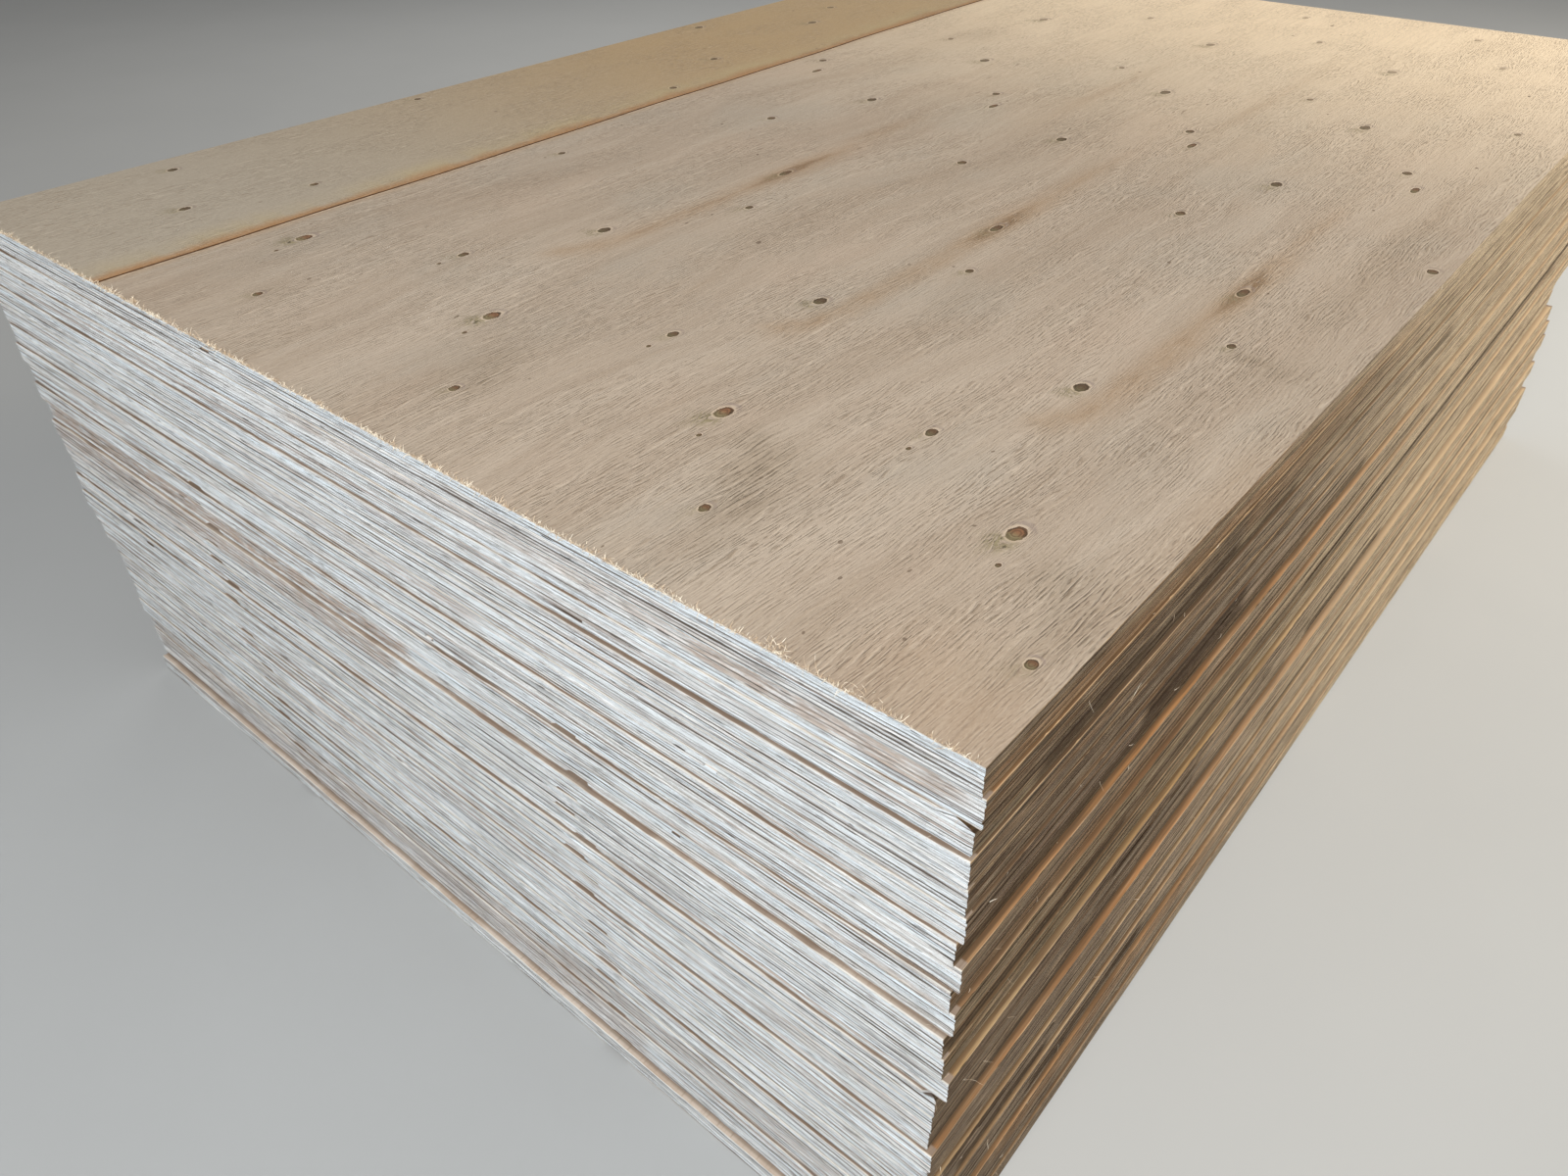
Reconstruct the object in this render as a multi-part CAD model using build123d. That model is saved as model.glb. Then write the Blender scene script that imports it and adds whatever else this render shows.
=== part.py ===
from build123d import *
import os

# Stack of plywood sheets lying on a level floor.
# Millimetres, +Z up, the grain of the faces and the long side along Y.
# The origin is the middle of the stack's box, on the floor.
# Each sheet is drawn with its corner at +X -Y on the origin, and then laid down by that corner.

# Size of one sheet
SHEET_WIDTH = 1220.0
SHEET_LENGTH = 1790.0
PLY_THICKNESS = 3.0
PLY_COUNT = 8
SHEET_THICKNESS = PLY_COUNT * PLY_THICKNESS

# How each sheet lies, from the top one down:
# how far its corner stands out along +X and along -Y in mm, and its turn about that corner in degrees
LAY = [
    (0.0, 0.0, 0.00),
    (1.6, -2.4, 0.17),
    (-2.2, -2.4, 0.20),
    (-1.0, -0.4, 0.16),
    (-0.6, -1.4, 0.19),
    (0.8, -1.8, 0.21),
    (-3.0, -0.4, 0.20),
    (1.6, -3.0, 0.23),
    (-2.8, -1.8, 0.22),
    (0.9, -4.6, 0.24),
    (-2.6, -0.4, 0.14),
    (-1.4, -2.0, 0.17),
    (3.4, -3.4, 0.22),
    (-3.2, -1.6, 0.18),
    (-4.0, -2.0, 0.26),
    (-5.6, -3.6, 0.20),
    (-0.5, -1.8, 0.08),
    (-2.6, -2.6, -0.12),
    (0.4, -3.6, -0.09),
    (-1.6, -4.4, -0.06),
    (1.0, -2.8, -0.12),
    (-0.6, -3.0, -0.06),
    (2.8, -4.2, -0.15),
    (0.8, -2.8, -0.20),
    (-1.8, -5.4, -0.16),
    (0.6, 0.4, -0.12),
]

# Bites broken out of the two bottom plies, at two places on each end, a little apart from sheet to sheet:
# distances of their middles from the corner, and their width and reach in each ply, from the lowest up
BITE_FROM_CORNER = (345.0, 875.0)
BITE_STEPS = [
    (32.0, 8.0),
    (24.0, 4.5),
]
BITE_WANDER = 4.5

# Gaps between two veneers of a lengthwise core ply, open to the end at -Y:
# sheet, ply from the top, distance from the corner, width
END_GAPS = [
    (1, 3, 740.0, 16.0),
    (3, 6, 315.0, 38.0),
    (6, 3, 190.0, 12.0),
    (8, 6, 500.0, 11.0),
    (10, 3, 232.0, 9.0),
    (14, 3, 1082.0, 34.0),
    (15, 3, 1058.0, 18.0),
    (17, 6, 612.0, 22.0),
    (20, 6, 408.0, 14.0),
    (23, 3, 818.0, 20.0),
]
END_GAP_REACH = 40.0

# Places where a ply broke out along the long side at +X:
# sheet, ply from the top, distance from the corner, length
SIDE_BREAKS = [
    (3, 8, 70.0, 260.0),
    (6, 4, 225.0, 150.0),
    (9, 2, 610.0, 60.0),
    (13, 5, 228.0, 110.0),
    (19, 4, 66.0, 115.0),
    (21, 5, 150.0, 205.0),
    (24, 2, 540.0, 90.0),
]
SIDE_BREAK_REACH = 5.0

# Broken corners of one ply: sheet, ply from the top, length along the end, length along the side
CORNER_CHIPS = [
    (3, 1, 26.0, 7.0),
    (7, 8, 18.0, 12.0),
    (14, 1, 12.0, 9.0),
]

# Joint between the two veneers of the top face, which runs askew along the whole sheet
JOINT_FROM_CORNER = 927.0
JOINT_SKEW = 33.0
JOINT_WIDTH = 1.6
JOINT_DEPTH = 0.8

OUT_FOLDER = "parts"


def rows_of(table, number):
    """The rows of a table that belong to one sheet, without its number."""
    return [row[1:] for row in table if row[0] == number]


def ply_bottom(ply):
    """Height of a ply's lower face in its sheet, where ply 1 is the top one."""
    return SHEET_THICKNESS - ply * PLY_THICKNESS


def plain_sheet():
    """One sheet, with its corner at +X -Y on the origin."""
    return Box(SHEET_WIDTH, SHEET_LENGTH, SHEET_THICKNESS, align=(Align.MAX, Align.MIN, Align.MIN))


def ply_pocket(ply, x_middle, y_middle, x_size, y_size):
    """A block one ply high, to be cut out of a sheet."""
    block = Box(x_size, y_size, PLY_THICKNESS, align=(Align.CENTER, Align.CENTER, Align.MIN))
    return Pos(x_middle, y_middle, ply_bottom(ply)) * block


def end_bites(number):
    """Half-round bites in the two bottom plies, on both ends."""
    wander = BITE_WANDER * ((number * 7) % 5 - 2)
    places = [(-x - wander, y) for x in BITE_FROM_CORNER for y in (0.0, SHEET_LENGTH)]
    bites = []
    for step, (width, reach) in enumerate(BITE_STEPS):
        bite = extrude(Ellipse(width / 2, reach), PLY_THICKNESS)
        bites += [Pos(x, y, step * PLY_THICKNESS) * bite for x, y in places]
    return bites


def end_gaps(number):
    """Deep pockets where a core ply's veneers don't meet."""
    rows = rows_of(END_GAPS, number)
    return [ply_pocket(ply, -x, 0, width, 2 * END_GAP_REACH) for ply, x, width in rows]


def side_breaks(number):
    """Long shallow pockets in the edge at +X."""
    rows = rows_of(SIDE_BREAKS, number)
    return [ply_pocket(ply, 0, y + length / 2, 2 * SIDE_BREAK_REACH, length) for ply, y, length in rows]


def corner_chips(number):
    """Three-sided pieces of one ply, broken off the corner."""
    chips = []
    for ply, along_end, along_side in rows_of(CORNER_CHIPS, number):
        outline = Polyline((0, 0), (0, along_side), (-along_end, 0), close=True)
        chips.append(Pos(0, 0, ply_bottom(ply)) * extrude(make_face(outline), PLY_THICKNESS))
    return chips


def veneer_joint():
    """The open joint between the two veneers of the top face."""
    near = -JOINT_FROM_CORNER
    far = near - JOINT_SKEW
    half = JOINT_WIDTH / 2
    outline = Polyline(
        (near - half, 0),
        (near + half, 0),
        (far + half, SHEET_LENGTH),
        (far - half, SHEET_LENGTH),
        close=True,
    )
    return Pos(0, 0, SHEET_THICKNESS - JOINT_DEPTH) * extrude(make_face(outline), JOINT_DEPTH)


def make_sheet(number):
    """One sheet with its cuts. Number 1 is the top sheet."""
    cuts = end_bites(number) + end_gaps(number) + side_breaks(number) + corner_chips(number)
    if number == 1:
        cuts.append(veneer_joint())
    return plain_sheet() - cuts


def lay_down(sheet, number):
    """Puts a sheet at its height, with its own offset and turn."""
    out_x, out_y, turn = LAY[number - 1]
    level = (len(LAY) - number) * SHEET_THICKNESS
    return Pos(out_x, -out_y, level) * Rot(0, 0, turn) * sheet


def make_stack():
    """All sheets by name, with the middle of their box over the origin."""
    sheets = {}
    for number in range(1, len(LAY) + 1):
        sheets[f"sheet_{number:02d}"] = lay_down(make_sheet(number), number)
    boxes = [sheet.bounding_box() for sheet in sheets.values()]
    middle_x = (min(box.min.X for box in boxes) + max(box.max.X for box in boxes)) / 2
    middle_y = (min(box.min.Y for box in boxes) + max(box.max.Y for box in boxes)) / 2
    return {name: Pos(-middle_x, -middle_y, 0) * sheet for name, sheet in sheets.items()}


os.makedirs(OUT_FOLDER, exist_ok=True)
for name, sheet in make_stack().items():
    export_step(sheet, f"{OUT_FOLDER}/{name}.step")
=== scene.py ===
import bpy
import numpy as np
from mathutils import Matrix, Vector
from mathutils.geometry import delaunay_2d_cdt


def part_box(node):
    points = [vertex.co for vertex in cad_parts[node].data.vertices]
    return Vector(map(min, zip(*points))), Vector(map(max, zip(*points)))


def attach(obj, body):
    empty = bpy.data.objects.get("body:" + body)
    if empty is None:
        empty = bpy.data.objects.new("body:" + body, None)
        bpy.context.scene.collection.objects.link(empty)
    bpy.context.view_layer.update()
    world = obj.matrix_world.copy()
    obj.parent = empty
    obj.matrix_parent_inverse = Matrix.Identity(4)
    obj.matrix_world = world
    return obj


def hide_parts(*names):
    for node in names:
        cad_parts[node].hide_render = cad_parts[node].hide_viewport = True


# Looks of the stack of plywood sheets, in metres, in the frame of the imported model.
# A sheet is drawn from its near right corner: "left" is the distance from there along the short end,
# and "far" the distance along the long side. Plies are counted from the top one down.

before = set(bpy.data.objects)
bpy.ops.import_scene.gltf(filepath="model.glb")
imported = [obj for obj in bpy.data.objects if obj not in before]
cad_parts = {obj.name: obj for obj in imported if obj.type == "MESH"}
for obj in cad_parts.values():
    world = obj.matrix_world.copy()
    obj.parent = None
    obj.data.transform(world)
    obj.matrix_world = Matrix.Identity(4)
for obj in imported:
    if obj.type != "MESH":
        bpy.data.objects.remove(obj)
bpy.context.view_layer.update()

MM = 0.001
SHEETS = sorted(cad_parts)
TOP_SHEET = SHEETS[0]
PLY_COUNT = 8
LENGTHWISE_PLIES = (1, 3, 6, 8)


# Places and sizes in mm, as in the model

# Bites broken out of the two bottom plies on both ends: width and reach, from the lowest ply up
BITE_FROM_CORNER = (345, 875)
BITE_STEPS = [
    (32, 8),
    (24, 4.5),
]
BITE_WANDER = 4.5
FIRST_BITTEN_SHEET = 8

# Gaps between the veneers of a core ply, open to the near end: sheet, ply, distance to the left, width
END_GAPS = [
    (1, 3, 740, 16),
    (3, 6, 315, 38),
    (6, 3, 190, 12),
    (8, 6, 500, 11),
    (10, 3, 232, 9),
    (14, 3, 1082, 34),
    (15, 3, 1058, 18),
    (17, 6, 612, 22),
    (20, 6, 408, 14),
    (23, 3, 818, 20),
]
END_GAP_REACH = 40

# Places where a ply broke out along the right side: sheet, ply, distance from the near end, length
SIDE_BREAKS = [
    (3, 8, 70, 260),
    (6, 4, 225, 150),
    (9, 2, 610, 60),
    (13, 5, 228, 110),
    (19, 4, 66, 115),
    (21, 5, 150, 205),
    (24, 2, 540, 90),
]
SIDE_BREAK_REACH = 5

# Broken corners of one ply: sheet, ply, length along the end, length along the side
CORNER_CHIPS = [
    (3, 1, 26, 7),
    (7, 8, 18, 12),
    (14, 1, 12, 9),
]

# Joint between the two veneers of the top face
JOINT_LEFT = 927
JOINT_SKEW = 33
JOINT_DEPTH = 0.8
JOINT_STEP = 2.6


def wander(at, step, rng):
    """A smooth random line from -1 to 1 that changes about every step along at."""
    place = at / step
    start = np.floor(place).astype(int)
    part = place - start
    part = part * part * (3 - 2 * part)
    knots = rng.uniform(-1, 1, start.max() + 2)
    return knots[start] * (1 - part) + knots[start + 1] * part


def smooth(value, low, high):
    """Rises smoothly from 0 at low to 1 at high."""
    part = np.clip((value - low) / (high - low), 0, 1)
    return part * part * (3 - 2 * part)


def waves(rows, at, rng, start=0):
    """Random lines added to a start, from rows of height and length in mm."""
    return sum((height * wander(at, length * MM, rng) for height, length in rows), start)


# How each sheet lies, read from its CAD node

class Lay:
    """Where one sheet lies: its near right corner, its two directions and its size."""

    def __init__(self, node):
        flat = np.array([v.co[:2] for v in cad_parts[node].data.vertices])
        self.corner = flat[np.argmax(flat @ (1, -1))]
        near_left = flat[np.argmax(flat @ (-1, -1))]
        far_right = flat[np.argmax(flat @ (1, 1))]
        self.width = np.linalg.norm(near_left - self.corner)
        self.length = np.linalg.norm(far_right - self.corner)
        self.to_left = (near_left - self.corner) / self.width
        self.to_far = (far_right - self.corner) / self.length
        low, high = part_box(node)
        self.bottom = low.z
        self.thickness = high.z - low.z
        self.ply = self.thickness / PLY_COUNT

    def place(self, left, far, height):
        """Points, from their distances to the left, to the far end and above the bottom."""
        flat = self.corner + np.multiply.outer(left, self.to_left) + np.multiply.outer(far, self.to_far)
        return np.concatenate([flat, np.add(self.bottom, height)[..., None]], -1)


# The edge of a sheet as a grid of points, in columns round the sheet and rows down its plies

EDGE_NAMES = ("left", "near", "right", "far")
FINE_STEP = 2.6 * MM
STEP_GROWTH = 0.0075
COARSE_STEP = 12 * MM
FIRST_STEP = 3.6 * MM
WALL = 0.15 * MM
CLOSEST_COLUMNS = 0.4 * WALL
BITE_COLUMNS = 13
SEAM_SLIVER = 0.05 * MM
GLUE_HALF = 0.11 * MM
ARRIS = 0.3 * MM
SHARP_TURN = np.radians(26)

# Relief of the edges in mm. Waves are rows of height and length.
# Plies that show torn fibres stand back further than cleanly cut ones, and the lowest ply is ragged
TORN_BACK = (0.18, 0.55)
CLEAN_BACK = (0, 0.16)
CLEAN_SHARE = 0.5
PROUD = 0.1
RELIEF_WAVES = [(0.22, 150), (0.13, 26), (0.1, 5)]
TILT_WAVES = [(0.12, 34)]
TILT = 0.06
RAGGED_WAVES = [(0.5, 70), (0.35, 13)]
RAGGED_BACK = 0.45
RAGGED_LOWER = 1.1
RAGGED_UPPER = 0.25

# Glue lines rise and fall, and the rows beside them belong to their plies
SEAM = 0.28
SEAM_WAVES = [(0.2, 120), (0.1, 31)]
FROM_GLUE_ABOVE = 0.06
FROM_GLUE_BELOW = 0.05
ROW_MARGIN = 0.02

# Nicks in the arrises
NICK_WAVES = [(1, 4), (0.6, 19)]
NICK_FLOOR = 0.55
TOP_ARRIS, TOP_NICKS = 0.16, 0.7
BOTTOM_ARRIS, BOTTOM_NICKS = 0.35, 0.5

# Depth of a torn-out place as a share of its reach, and how far its ends run out
TORN_MEAN = 0.72
TORN_WAVES = [(0.28, 7)]
TORN_END = 9 * MM


def grown_steps(length):
    """Distances from a corner to the other end of an edge, in steps that grow with the distance."""
    steps = [0, FIRST_STEP]
    while steps[-1] < length - FIRST_STEP - FINE_STEP:
        steps.append(steps[-1] + FINE_STEP + STEP_GROWTH * steps[-1])
    steps = np.array(steps[:-1] if steps[-1] > length - FIRST_STEP else steps)
    return np.append(steps[:-1], length - FIRST_STEP)


def even_steps(length):
    inner = np.arange(FIRST_STEP, length - FIRST_STEP, COARSE_STEP)
    return np.append(0, np.append(inner, length - FIRST_STEP))


class Edge:
    """One side of a sheet: its columns in the order round the sheet, and its dents."""

    def __init__(self, name, lay, number):
        self.name = name
        self.is_end = name in ("near", "far")
        self.length = lay.width if self.is_end else lay.length
        self.dents = list(dents_of(name, number))
        steps = grown_steps(self.length) if name in ("near", "right") else even_steps(self.length)
        stops = [stop for dent in self.dents for stop in dent.stops()]
        if number == 1 and self.is_end:
            stops += [joint_on(name, lay) + offset * MM for offset, _ in JOINT_PROFILE]
        steps = np.unique(np.append(steps, stops))
        close = np.append(np.diff(steps) < CLOSEST_COLUMNS, False)
        steps = steps[~close]
        if name in ("near", "left"):
            self.at = self.length - np.append(steps, self.length)[::-1][:-1]
            self.from_corner = self.length - self.at
        else:
            self.at = steps
            self.from_corner = steps

    def places(self, inset, lay):
        """Distances to the left and to the far end of points that lie inside the outline by inset."""
        along = np.broadcast_to(self.at, inset.shape)
        if self.name == "left":
            return lay.width - inset, lay.length - along
        if self.name == "near":
            return lay.width - along, inset.copy()
        if self.name == "right":
            return inset.copy(), along.copy()
        return along.copy(), lay.length - inset


class Dent:
    """A place where one ply stands back: from start to end along an edge, and how deep."""

    def __init__(self, ply, start, end, reach, shape):
        self.ply, self.start, self.end, self.reach, self.shape = ply, start, end, reach, shape

    def stops(self):
        """Where columns are needed."""
        if self.shape == "round":
            turn = np.linspace(-1, 1, BITE_COLUMNS) * np.pi / 2
            middle = (self.start + self.end) / 2
            return list(middle + (self.end - self.start) / 2 * np.sin(turn))
        return [self.start - WALL, self.start, self.end, self.end + WALL]

    def depth(self, at, rng):
        """How far the ply stands back at each distance along the edge."""
        part = (at - self.start) / (self.end - self.start)
        inside = (part >= 0) & (part <= 1)
        form = np.ones_like(at)
        if self.shape == "round":
            form = np.sqrt(np.clip(1 - (2 * part - 1) ** 2, 0, 1))
        if self.shape == "torn":
            ends = smooth(np.minimum(part, 1 - part) * (self.end - self.start), 0, TORN_END)
            form = ends * waves(TORN_WAVES, at, rng, TORN_MEAN)
        return np.where(inside, self.reach * form, 0)


def dents_of(name, number):
    """The dents of one edge of one sheet."""
    if name in ("near", "far") and number >= FIRST_BITTEN_SHEET:
        for place in BITE_FROM_CORNER:
            middle = (place + BITE_WANDER * ((number * 7) % 5 - 2)) * MM
            for step, (width, reach) in enumerate(BITE_STEPS):
                half = width / 2 * MM
                yield Dent(PLY_COUNT - step, middle - half, middle + half, reach * MM, "round")
    if name == "near":
        for sheet, ply, place, width in END_GAPS:
            if sheet == number:
                half = width / 2 * MM
                yield Dent(ply, place * MM - half, place * MM + half, END_GAP_REACH * MM, "square")
    if name == "right":
        for sheet, ply, place, length in SIDE_BREAKS:
            if sheet == number:
                yield Dent(ply, place * MM, (place + length) * MM, SIDE_BREAK_REACH * MM, "torn")


def joint_left(far, length):
    """Distance to the left of the top face's joint, at a distance from the near end."""
    bow = 1.1 * np.sin(far * 11) + 0.7 * np.sin(far * 27 + 1)
    return (JOINT_LEFT + JOINT_SKEW * far / length + bow) * MM


# Distance to the left of the joint in mm, and share of its depth
JOINT_PROFILE = [(-2.8, 0), (-1.2, 0.0625), (-0.6, 1), (0.6, 1), (1.1, 0.125), (2.8, 0)]


def joint_on(name, lay):
    """Distance to the left of the joint on one of the two ends."""
    return joint_left(0 if name == "near" else lay.length, lay.length)


def joint_depth(offset):
    """How far the top face lies below its level, at a distance to the left of the joint."""
    places = [place * MM for place, _ in JOINT_PROFILE]
    depths = [share * JOINT_DEPTH * MM for _, share in JOINT_PROFILE]
    return np.interp(offset, places, depths, 0, 0)


def ply_relief(edge, ply, at, rng):
    """How far the upper and lower row of one ply lie inside the outline."""
    torn = (ply in LENGTHWISE_PLIES) != edge.is_end
    size = 1 if torn else CLEAN_SHARE
    level = rng.uniform(*(TORN_BACK if torn else CLEAN_BACK)) + size * waves(RELIEF_WAVES, at, rng)
    tilt = size * waves(TILT_WAVES, at, rng) + rng.uniform(-TILT, TILT)
    upper, lower = level + tilt, level - tilt
    if ply == PLY_COUNT:
        ragged = np.clip(waves(RAGGED_WAVES, at, rng, 0.5), 0, 1)
        lower = lower + RAGGED_BACK + RAGGED_LOWER * ragged
        upper = upper + RAGGED_UPPER * ragged
    return np.maximum(upper, -PROUD) * MM, np.maximum(lower, -PROUD) * MM


def edge_rows(edge, lay, number, rng):
    """Inset, height and ply coordinate of each row of points, for the columns of one edge."""
    at = edge.at
    level = np.zeros_like(at)
    seams = [waves(SEAM_WAVES, at, rng, rng.uniform(-SEAM, SEAM)) * MM for _ in range(1, PLY_COUNT)]
    seams = [level, *seams, level]
    inset, height, layer = [], [], []
    for ply in range(1, PLY_COUNT + 1):
        upper, lower = ply_relief(edge, ply, at, rng)
        for dent in edge.dents:
            if dent.ply == ply:
                depth = dent.depth(edge.from_corner, rng)
                upper, lower = np.maximum(upper, depth), np.maximum(lower, depth)
        top = lay.thickness - (ply - 1) * lay.ply + seams[ply - 1] - (ARRIS if ply == 1 else GLUE_HALF)
        low = lay.thickness - ply * lay.ply + seams[ply] + (ARRIS if ply == PLY_COUNT else GLUE_HALF)
        inset += [upper, lower]
        height += [top, low]
        layer += [ply - 1 + FROM_GLUE_ABOVE, ply - FROM_GLUE_BELOW]
    nicks = np.clip(waves(NICK_WAVES, at, rng) - NICK_FLOOR, 0, 1)
    top_arris = inset[0] + (TOP_ARRIS + TOP_NICKS * nicks) * MM
    bottom_arris = inset[-1] + (BOTTOM_ARRIS + BOTTOM_NICKS * nicks[::-1]) * MM
    inset = [top_arris, *inset, bottom_arris]
    height = [np.full_like(at, lay.thickness), *height, level]
    layer = [0, *layer, PLY_COUNT]
    if number == 1 and edge.is_end:
        height[0] = height[0] - joint_depth(edge.from_corner - joint_on(edge.name, lay))
        height[1] = np.minimum(height[1], height[0] - ARRIS)
    return np.array(inset), np.array(height), np.array(layer)


def ply_rows(layer, first, last):
    """Which rows of points belong to the plies from first to last."""
    return (layer > first - 1 - ROW_MARGIN) & (layer < last + ROW_MARGIN)


def chipped(left, far, number, layer):
    """Moves the points of a ply's broken corner onto the break."""
    for sheet, ply, along_end, along_side in CORNER_CHIPS:
        if sheet != number:
            continue
        a, b = along_end * MM, along_side * MM
        rows = ply_rows(layer, ply, ply)
        short = np.clip(1 - left[rows] / a - far[rows] / b, 0, 1)
        left[rows] += a * short / 2
        far[rows] += b * short / 2


def sheet_grid(lay, number, rng):
    """Points of a sheet's four edges, rows by columns, with what the materials read."""
    parts, kinds = [], []
    run = 0
    previous = None
    for name in EDGE_NAMES:
        edge = Edge(name, lay, number)
        inset, height, layer = edge_rows(edge, lay, number, rng)
        left, far = edge.places(inset, lay)
        if name == "near":
            left[:, 0] = lay.width - previous
        elif name == "right":
            far[:, 0] = previous
        elif name == "far":
            left[:, 0] = previous
        previous = inset[:, -1]
        along = np.broadcast_to(run + edge.at, inset.shape)
        strip = np.stack([along, np.broadcast_to(layer[:, None], inset.shape), inset], -1)
        stain = stained(END_STAINS if edge.is_end else SIDE_STAINS, number, edge.from_corner, layer)
        parts.append((left, far, height, strip, stain))
        kinds += [edge.is_end] * len(edge.at)
        run += edge.length

    # The first column comes back as a sliver at the end, so that the strip doesn't run backwards
    left, far, height = parts[0][:3]
    far[:, 0] = lay.length - previous
    strip, stain = strip[:, -1:].copy(), stain[:, -1:]
    strip[..., 0] = run
    parts.append((left[:, :1] - SEAM_SLIVER, far[:, :1], height[:, :1], strip, stain))
    kinds.append(False)
    left, far, height, strip, stain = (np.concatenate(part, 1) for part in zip(*parts))
    chipped(left, far, number, layer)
    return left, far, height, strip, kinds, stain


# Colours of the bare plies along the long sides, and the one that each sheet has

WOOD_TONES = {
    "grey": (0.235, 0.18, 0.132),
    "olive": (0.27, 0.208, 0.118),
    "brown": (0.08, 0.046, 0.024),
    "orange": (0.36, 0.18, 0.078),
    "plum": (0.21, 0.15, 0.115),
    "tan": (0.35, 0.235, 0.128),
}
SHEET_TONES = [
    "grey", "brown", "olive", "grey", "grey", "plum", "brown", "grey", "orange",
    "olive", "brown", "olive", "plum", "brown", "grey", "brown", "plum", "tan",
    "grey", "brown", "grey", "olive", "tan", "olive", "tan", "tan",
]

# Colours of the narrow ledges along the long sides, by sheet; the other sheets have the plain one
LEDGE_TONES = {
    2: (0.42, 0.225, 0.095),
    8: (0.41, 0.2, 0.075),
    10: (0.33, 0.17, 0.075),
    12: (0.3, 0.215, 0.118),
    13: (0.4, 0.26, 0.115),
    17: (0.41, 0.2, 0.08),
    19: (0.34, 0.235, 0.125),
    21: (0.31, 0.205, 0.11),
    23: (0.39, 0.215, 0.095),
    26: (0.34, 0.24, 0.14),
}
PLAIN_LEDGE = (0.165, 0.118, 0.078)

# Stained stretches of an edge: sheet, first and last ply, start and end in mm, strength
END_STAINS = [
    (2, 1, 5, 10, 210, 0.75),
    (2, 1, 3, 210, 640, 0.5),
    (1, 6, 7, 120, 420, 0.35),
    (4, 1, 2, 160, 560, 0.4),
    (6, 2, 5, 420, 760, 0.35),
    (7, 6, 8, 980, 1120, 0.5),
    (9, 6, 8, 0, 260, 0.5),
    (9, 7, 8, 880, 1220, 0.7),
    (10, 1, 6, 540, 1220, 0.9),
    (11, 1, 8, 560, 1220, 0.7),
    (12, 2, 5, 900, 1220, 0.5),
    (15, 5, 8, 0, 150, 0.4),
    (17, 2, 6, 640, 900, 0.35),
    (19, 1, 4, 700, 1220, 0.35),
    (22, 3, 8, 60, 420, 0.5),
    (23, 1, 8, 350, 1220, 0.4),
    (24, 1, 8, 300, 1220, 0.5),
    (25, 1, 8, 300, 1220, 0.35),
    (26, 1, 3, 700, 1220, 0.6),
]
SIDE_STAINS = [
    (1, 5, 8, 0, 700, -0.8),
    (2, 1, 8, 330, 1100, -0.4),
    (3, 4, 5, 66, 345, 1),
    (3, 6, 8, 60, 460, 0.8),
    (5, 1, 2, 340, 560, 0.6),
    (5, 1, 3, 790, 900, 0.6),
    (6, 1, 7, 215, 390, 1),
    (7, 4, 8, 0, 700, 0.8),
    (7, 1, 2, 600, 1790, 0.6),
    (8, 7, 8, 0, 900, 0.9),
    (9, 1, 8, 0, 800, -0.5),
    (9, 4, 5, 500, 1790, 0.5),
    (10, 8, 8, 0, 500, 0.5),
    (11, 4, 8, 0, 250, 1),
    (11, 4, 8, 250, 750, 0.6),
    (11, 2, 4, 600, 1790, 1),
    (11, 5, 7, 750, 1600, 0.5),
    (13, 5, 8, 220, 385, 1),
    (15, 5, 8, 225, 420, 0.7),
    (15, 5, 6, 480, 600, 0.8),
    (15, 7, 8, 640, 1300, 0.8),
    (16, 5, 8, 0, 650, 0.6),
    (16, 4, 8, 700, 950, 0.9),
    (16, 1, 2, 1300, 1790, 0.7),
    (18, 6, 7, 600, 1790, 0.8),
    (19, 1, 3, 15, 110, 0.9),
    (20, 4, 7, 40, 180, 1),
    (21, 5, 8, 150, 360, 1),
    (22, 3, 5, 150, 360, 0.9),
    (23, 1, 8, 100, 700, -0.7),
]
STAIN_FADE = 14 * MM


def stained(table, number, at, layer):
    """How strongly each point of an edge grid is stained; below zero means warmer and not darker."""
    total = np.zeros((len(layer), len(at)))
    for sheet, first, last, start, end, strength in table:
        if sheet == number:
            inside = smooth(np.minimum(at - start * MM, end * MM - at), -STAIN_FADE / 2, STAIN_FADE)
            total[ply_rows(layer, first, last)] += strength * inside
    return total


# Materials

class Value:
    """What a node gives, with the sums that can be written with it."""

    def __init__(self, graph, socket):
        self.graph, self.socket = graph, socket

    def __add__(self, other):
        return self.graph.math("ADD", self, other)

    def __sub__(self, other):
        return self.graph.math("SUBTRACT", self, other)

    def __rsub__(self, other):
        return self.graph.math("SUBTRACT", other, self)

    def __mul__(self, other):
        return self.graph.math("MULTIPLY", self, other)

    def __truediv__(self, other):
        return self.graph.math("DIVIDE", self, other)

    def span(self, low, high, start=0, end=1, way="SMOOTHSTEP"):
        """Goes from start to end while this value goes from low to high."""
        inputs = {"Value": self, "From Min": low, "From Max": high, "To Min": start, "To Max": end}
        return self.graph.value("MapRange", inputs, interpolation_type=way)

    def line(self, low, high, start, end):
        return self.span(low, high, start, end, "LINEAR")


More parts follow.
